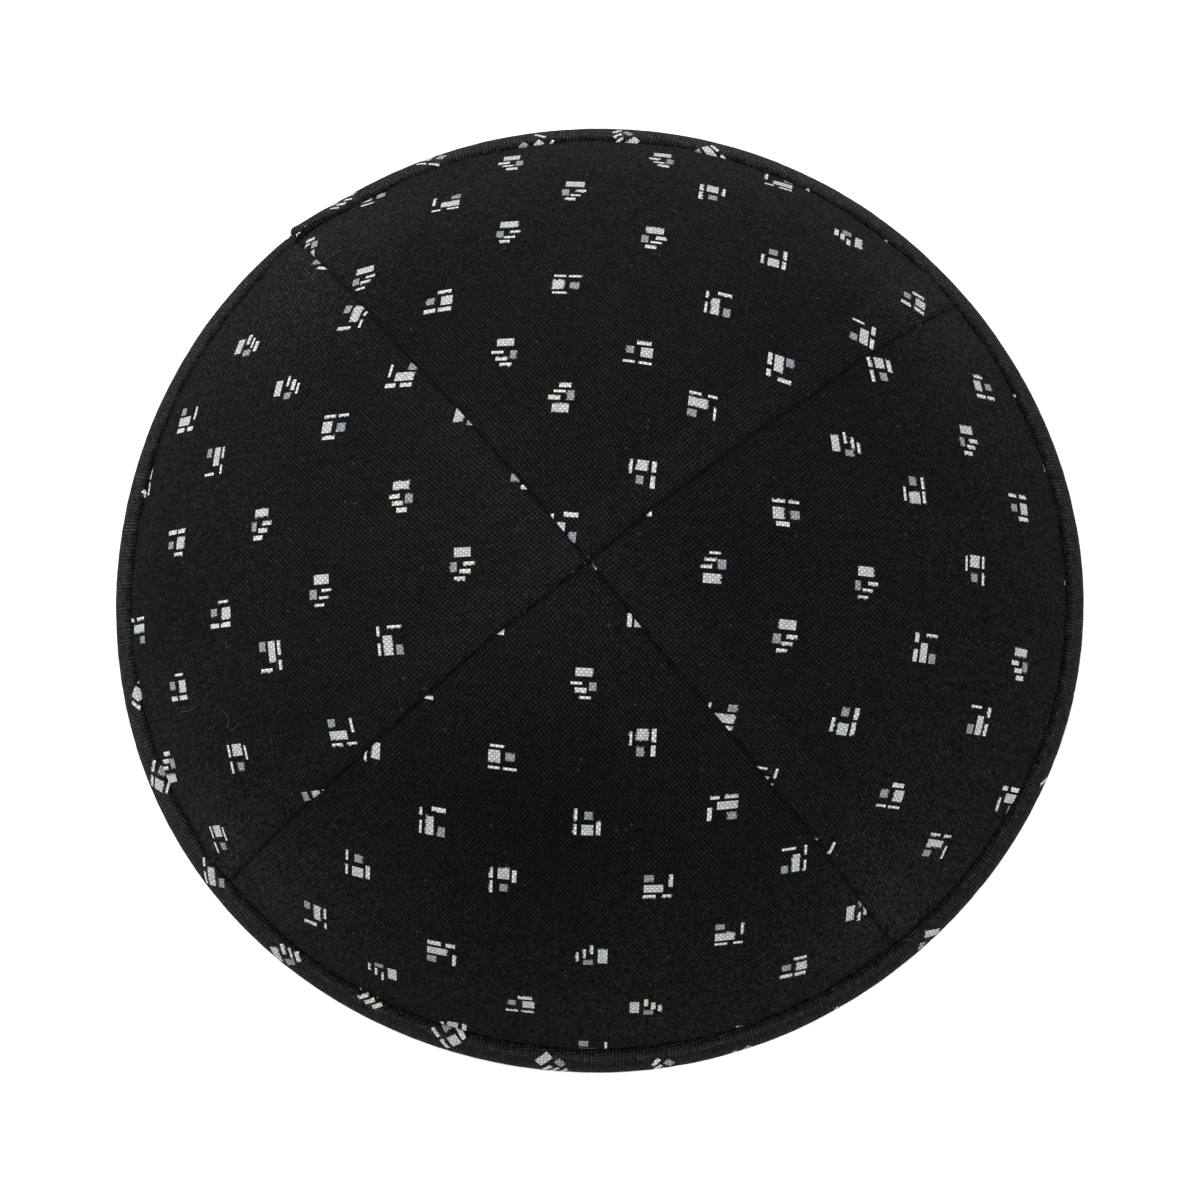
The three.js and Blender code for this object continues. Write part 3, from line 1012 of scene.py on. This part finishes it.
def weave_group():
    """Plain weave: height, tone of the thread on top, and the middle of the nearest crossing.

    Threads along the grain and across it swing over and under each other, and the higher of the
    two shows. Each thread has a tone of its own, with lighter and darker stretches. Painted light
    and shade make the cloth lighter where threads along the grain lie on top, darker where those
    across it do.
    """
    tree, make, given = new_group(
        "plain_weave", [("Cloth", "Vector")],
        [("Height", "Float"), ("Tone", "Float"), ("Crossing", "Vector")])
    cloth = given[0]
    along, across, _ = make.parts(cloth)
    x = make.math("DIVIDE", across, THREAD_ALONG_PITCH)
    y = make.math("DIVIDE", along, THREAD_ACROSS_PITCH)
    column, row = make.math("FLOOR", x), make.math("FLOOR", y)

    def swing(value):
        return make.math("SINE", make.times(value, math.pi))

    def parity(index):
        return make.math("COSINE", make.times(index, math.pi))

    def thread_surface(round_wave, over):
        rounded = make.times(make.math("ABSOLUTE", round_wave), THREAD_ROUND)
        return make.math("MULTIPLY_ADD", over, THREAD_OVER, rounded)

    wave_x, wave_y = swing(x), swing(y)
    along_over = make.times(parity(column), wave_y)
    across_over = make.times(parity(row), make.times(wave_x, -1.0))
    along_thread = thread_surface(wave_x, along_over)
    across_thread = thread_surface(wave_y, across_over)
    height = make.math("MAXIMUM", along_thread, across_thread)
    on_top = make.math("GREATER_THAN", along_thread, across_thread)

    # The halves keep each thread's chance apart from the crossings' and the other threads'
    along_index, across_index = make.pair(column, 1.5), make.pair(row, 7.5)
    stretched = make.pick(on_top, SLUB_SCALES["across"], SLUB_SCALES["along"])
    slub = make.noise(make.vector("MULTIPLY", cloth, stretched), 1.0, 1.0)
    thread = make.hashed(make.pick(on_top, across_index, along_index))
    crossing = make.hashed(make.pair(column, row))
    # Painted light and shade: lighter where threads along the grain lie on top, darker where those
    # across it do
    painted_facing = make.math("MULTIPLY_ADD", make.times(wave_x, wave_y), PAINTED_FACING_CONTRAST, 1.0)
    tone = make.times(make.ranged(thread, 0.0, 1.0, *THREAD_LEVELS),
                     make.ranged(crossing, 0.0, 1.0, *CROSSING_LEVELS))
    tone = make.times(tone, make.ranged(slub, *NOISE_RANGE, *SLUB_LEVELS))
    tone = make.times(tone, painted_facing)
    middle_along = make.times(make.plus(row, 0.5), THREAD_ACROSS_PITCH)
    middle_across = make.times(make.plus(column, 0.5), THREAD_ALONG_PITCH)
    end_group(tree, height, tone, make.pair(middle_along, middle_across))
    return tree


def bar_group():
    """1 inside a bar that is given by its middle and half its size, 0 outside."""
    tree, make, given = new_group(
        "print_bar", [("Place", "Vector"), ("Middle", "Vector"), ("Half", "Vector")],
        [("Inside", "Float")])
    off = make.vector("ABSOLUTE", make.vector("SUBTRACT", given[0], given[1]))
    x, y, _ = make.parts(make.vector("SUBTRACT", off, given[2]))
    end_group(tree, make.ranged(make.math("MAXIMUM", x, y), BAR_EDGE, -BAR_EDGE))
    return tree


def print_group(bar):
    """The block print: how much of each ink lies at a place of the cloth.

    Each cell of a turned lattice holds one group of bars, moved, turned and mirrored by chance.
    """
    tree, make, given = new_group(
        "block_print", [("Place", "Vector")], [(ink, "Float") for ink in INKS])

    def rotated(vector, angle):
        return make.add("ShaderNodeVectorRotate", vector, (0.0, 0.0, 0.0), (0.0, 0.0, 1.0), angle,
                        rotation_type="AXIS_ANGLE")

    lattice_turn = math.radians(PRINT_TURN_DEG)
    lattice = rotated(given[0], lattice_turn)
    cell = make.vector("FLOOR", make.scaled(lattice, 1 / PRINT_CELL))
    chance = make.hashed(cell, output=1)
    other = make.hashed(make.vector("ADD", cell, PRINT_SEED), output=1)
    jitter = make.scaled(make.vector("SUBTRACT", chance, (0.5, 0.5, 0.5)), PRINT_JITTER)
    middle = make.scaled(make.vector("ADD", cell, (0.5, 0.5, 0.0)), PRINT_CELL)
    local = make.vector("SUBTRACT", lattice, make.vector("ADD", middle, jitter))
    pick, quarter, mirror = make.parts(other)
    quarter_turns = make.math("FLOOR", make.times(quarter, 4.0))
    turn = make.math("MULTIPLY_ADD", quarter_turns, math.pi / 2, -lattice_turn)
    x, y, _ = make.parts(rotated(local, turn))
    side = make.math("SIGN", make.math("SUBTRACT", mirror, 0.5))
    local = make.pair(make.times(x, side), y)

    second = make.math("GREATER_THAN", pick, 1 / 3)
    third = make.math("GREATER_THAN", pick, 2 / 3)
    covers = {}
    for row in PRINT_BARS:
        middles = [(across, up, 0.0) for across, up in row["middles"]]
        halves = [(wide / 2, high / 2, 1.0) for wide, high in row["sizes"]]
        middle = make.pick(third, make.pick(second, *middles[:2]), middles[2])
        half = make.pick(third, make.pick(second, *halves[:2]), halves[2])
        cover = make.group(bar, local, middle, half)[0]
        if row["ink"] in covers:
            cover = make.math("MAXIMUM", covers[row["ink"]], cover)
        covers[row["ink"]] = cover
    end_group(tree, *(covers[ink] for ink in INKS))
    return tree


def new_material(name):
    """A material, the shading of its tree and its shader."""
    material = bpy.data.materials.new(name)
    material.use_nodes = True
    tree = material.node_tree
    return material, Shading(tree), tree.nodes["Principled BSDF"]


def set_shader(make, shader, height, bump_strength, relief, values):
    """Gives a shader its values by their sockets' names, and a bump from a height."""
    bump = make.add("ShaderNodeBump", bump_strength, relief * MM)
    make.feed(bump.node.inputs["Height"], height)
    make.feed(shader.inputs["Normal"], bump)
    for name, value in values.items():
        make.feed(shader.inputs[name], value)


def near_rim(make, out, reach, low, high):
    """Goes from low to high over a reach that is given in shares of the rim's radius."""
    start, end = (share * RIM_RADIUS * MM for share in reach)
    return make.ranged(out, start, end, low, high)


def weave_colour(make, height, out):
    """Painted shade in the pits between lighter threads, evened out by the fibres' veil near the rim.
    """
    shade = make.ranged(height, *WEAVE_SHADES_AT, kind="SMOOTHSTEP")
    veil = near_rim(make, out, VEIL_REACH, 0.0, VEIL_STRENGTH)
    shade = make.math("MULTIPLY_ADD", veil, make.math("SUBTRACT", VEIL_SHADE, shade), shade)
    return make.blend(shade, PAINTED_PIT_SHADE, CLOTH_CROWN)


def rib_level(make, cloth, ribs):
    """Light and dark of the ribs across the folded strip, stronger in some stretches."""
    on_strip = make.vector("SUBTRACT", cloth, (*BINDING_SHIFT, 0.0))
    turn = math.radians(BIAS_DEG)
    run = make.vector("DOT_PRODUCT", on_strip, (math.cos(turn), math.sin(turn), 0.0), output=1)
    rib = make.math("SINE", make.times(run, 2 * math.pi / RIB_PITCH))
    patches = make.noise(on_strip, RIB_PATCH_SCALE, 1.0)
    bunched = make.ranged(patches, *RIB_PATCH_RANGE, RIB_LEAST * ribs, ribs)
    return make.math("MULTIPLY_ADD", rib, bunched, 1.0)


def seam_painted_shade(make, near_seam, crossing):
    """Painted shade in a seam or groove, a little different from crossing to crossing."""
    spots = make.ranged(make.hashed(crossing), 0.0, 1.0, *SEAM_SPOTS)
    spotted = make.times(near_seam, spots)
    return make.ranged(spotted, 0.0, 1.0, 1.0, SEAM_DARKEST)


def fuzz_level(make, plan, out):
    """Light and dark of the short fibres that stand up from the cloth."""
    fuzz = make.noise(plan, FUZZ_SCALE, 2.0, FUZZ_ROUGHNESS)
    fuzz = make.ranged(fuzz, *FUZZ_RANGE, -1.0, 1.0)
    fuzz = make.times(fuzz, near_rim(make, out, FUZZ_REACH, *FUZZ_STRENGTH))
    return make.plus(fuzz, 1.0)


def inked(make, colour, printer, cloth, height, thread, crossing):
    """The cloth's colour with the print over it, which takes on the weave's relief and tones."""
    wobble = make.noise(cloth, INK_WOBBLE_SCALE, 1.0, output=1)
    wobble = make.vector("SUBTRACT", wobble, (0.5, 0.5, 0.5))
    wobble = make.vector("MULTIPLY", wobble, INK_WOBBLE)
    spot = make.vector("ADD", make.pick(INK_BY_CROSSING, cloth, crossing), wobble)
    soaked = make.ranged(height, *INK_HEIGHTS, *INK_COVERS, kind="SMOOTHSTEP")
    shine = make.ranged(thread, *INK_TONES, *INK_LEVELS)
    for ink, cover in zip(INKS, make.group(printer, spot)):
        cover = make.times(cover, soaked)
        colour = make.blend(cover, colour, make.dimmed(INKS[ink], shine))
    return colour


def cotton(name, weave, printer, tone=1.0, sheen=CLOTH_SHEEN, ribs=0.0):
    """Woven cotton. printer is the print's node group, or None for plain cloth.

    ribs says how much the folded binding's threads bunch into ribs across it. tone lightens the
    whole cloth, and on the binding it is painted sheen.
    """
    material, make, shader = new_material(name)
    cloth = make.add("ShaderNodeUVMap", uv_map="cloth")
    height, thread, crossing = make.group(weave, cloth)
    at = make.add("ShaderNodeTexCoord", output=OBJECT_PLACE)
    plan = make.vector("MULTIPLY", at, FUZZ_SQUEEZE)
    out = make.vector("LENGTH", make.vector("MULTIPLY", plan, (1.0, 1.0, 0.0)), output=1)
    # This map holds painted sheen and shade that scale the cloth's brightness, and how much painted
    # shade a place takes at seams, the groove and the lap
    painted_light_here, near_seam, _ = make.parts(make.add("ShaderNodeUVMap", uv_map="painted_light"))
    level = make.times(thread, make.times(painted_light_here, tone))
    if ribs:
        level = make.times(level, rib_level(make, cloth, ribs))
    level = make.times(level, seam_painted_shade(make, near_seam, crossing))
    level = make.times(level, fuzz_level(make, plan, out))
    level = make.math("MAXIMUM", level, LEAST_LEVEL)
    chance = make.hashed(make.vector("ADD", crossing, LINT_SEED))
    level = make.plus(level, make.ranged(chance, *LINT_CHANCES, 0.0, LINT_LEVEL))
    colour = make.dimmed(weave_colour(make, height, out), level)
    if printer is not None:
        colour = inked(make, colour, printer, cloth, height, thread, crossing)
    shader.inputs["Base Color"].default_value = CLOTH_CROWN
    set_shader(make, shader, height, 1.0, WEAVE_RELIEF, {
        "Base Color": colour,
        "Roughness": make.ranged(height, 0.0, 1.0, *CLOTH_ROUGHNESS),
        "Sheen Weight": sheen,
        **CLOTH_LOOK,
    })
    return material


def thread_material(name, colour):
    """Sewing thread or a hair, lighter and darker in a fine grain."""
    material, make, shader = new_material(name)
    grain = make.noise(make.add("ShaderNodeTexCoord", output=OBJECT_PLACE), PLY_SCALE)
    level = make.ranged(grain, *NOISE_RANGE, *PLY_LEVELS)
    set_shader(make, shader, grain, THREAD_BUMP, PLY_RELIEF, {
        "Base Color": make.dimmed((*colour, 1), level),
        "Roughness": make.ranged(grain, *NOISE_RANGE, *THREAD_ROUGHNESS),
        **THREAD_LOOK,
    })
    return material


def floor_material():
    """A pale floor, very slightly clouded."""
    material, make, shader = new_material("pale_floor")
    place_on = make.add("ShaderNodeTexCoord", output=OBJECT_PLACE)
    clouds = make.noise(place_on, FLOOR_CLOUD_SCALE)
    make.feed(shader.inputs["Base Color"], make.blend(clouds, *FLOOR_GREYS))
    for socket, value in FLOOR_LOOK.items():
        shader.inputs[socket].default_value = value
    return material


def make_floor():
    """The floor on which the cap rests."""
    points = [(x * FLOOR_REACH, y * FLOOR_REACH, 0) for x, y in ((-1, -1), (1, -1), (1, 1), (-1, 1))]
    floor = make_piece("floor", points, [(0, 1, 2, 3)], [floor_material()])


def soft_light(name, where, power):
    """A square soft light that faces the cap."""
    data = bpy.data.lights.new(name, "AREA")
    data.shape = "SQUARE"
    data.size = LIGHT_SIZE * MM
    data.energy = power
    light = add_object(name, data)
    light.location = Vector(where) * MM
    light.rotation_euler = (-light.location).to_track_quat("-Z", "Y").to_euler()
    light.visible_camera = False


def make_light():
    """The white surround and the studio's lights."""
    world = bpy.data.worlds.new("studio")
    world.use_nodes = True
    background = world.node_tree.nodes["Background"]
    background.inputs["Color"].default_value = (1, 1, 1, 1)
    background.inputs["Strength"].default_value = WORLD_STRENGTH
    bpy.context.scene.world = world
    bpy.context.scene.view_settings.view_transform = "Standard"
    for row in LIGHTS:
        soft_light(row["name"], row["where"], row["power"])


def make_camera():
    """Looks down on the cap as the photograph does, with +Y at the top of the picture."""
    data = bpy.data.cameras.new("camera")
    data.sensor_width = SENSOR_WIDTH
    data.lens = SENSOR_WIDTH * CAMERA_DISTANCE / FRAME_WIDTH
    data.clip_start, data.clip_end = (distance * MM for distance in CAMERA_SEES)
    camera = add_object("camera", data)
    right = Vector((0, 1, 0)).cross(CAMERA_BACK).normalized()
    up = CAMERA_BACK.cross(right)
    turn = Matrix((right, up, CAMERA_BACK)).transposed()
    middle = (CAMERA_TARGET + CAMERA_BACK * CAMERA_DISTANCE) * MM
    camera.matrix_world = Matrix.Translation(middle) @ turn.to_4x4()
    bpy.context.scene.camera = camera


weave = weave_group()
printer = print_group(bar_group())
printed_cotton = cotton("printed_cotton_cloth", weave, printer)
plain_cotton = cotton("plain_inside_cloth", weave, None)
# The binding painted lighter all over, for painted sheen
binding_cotton = cotton(
    "binding_cotton_cloth", weave, printer, BINDING_PAINTED_SHEEN, BINDING_SHEEN, RIB_STRENGTH)
threads = {name: thread_material(name, colour) for name, colour in THREAD_COLOURS.items()}

specks = [tip_speck(speck) for speck in TIP_SPECKS]
tip_thread_specks = thread_piece("tip_thread_specks", specks, "grey_thread")
hairs = [lint_hair(hair) for hair in LINT_HAIRS]
lint_hairs = thread_piece("lint_hairs", hairs, "grey_lint")
on_crown = [tip_thread_specks, lint_hairs]
for piece in on_crown:
    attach(piece, "root")

for index, panel in enumerate(PANELS):
    next_seam_deg = PANELS[(index + 1) % len(PANELS)]["seam_deg"]
    if next_seam_deg < panel["seam_deg"]:
        next_seam_deg += 360
    piece = make_panel(panel, next_seam_deg, printed_cotton, plain_cotton)
    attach(piece, "root")
    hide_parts(panel["node"])

binding = make_binding(binding_cotton)
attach(binding, "root")
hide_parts("rim_binding")

groove_stitches = stitch_ring("groove_stitches")
inside_stitches = stitch_ring("inside_stitches")
over_lap = [lap_stitch(stitch) for stitch in LAP_STITCHES]
lap_stitches = thread_piece("lap_stitches", over_lap, "pale_thread")
on_binding = [groove_stitches, inside_stitches, lap_stitches]
for piece in on_binding:
    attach(piece, "root")

make_floor()
make_light()
make_camera()
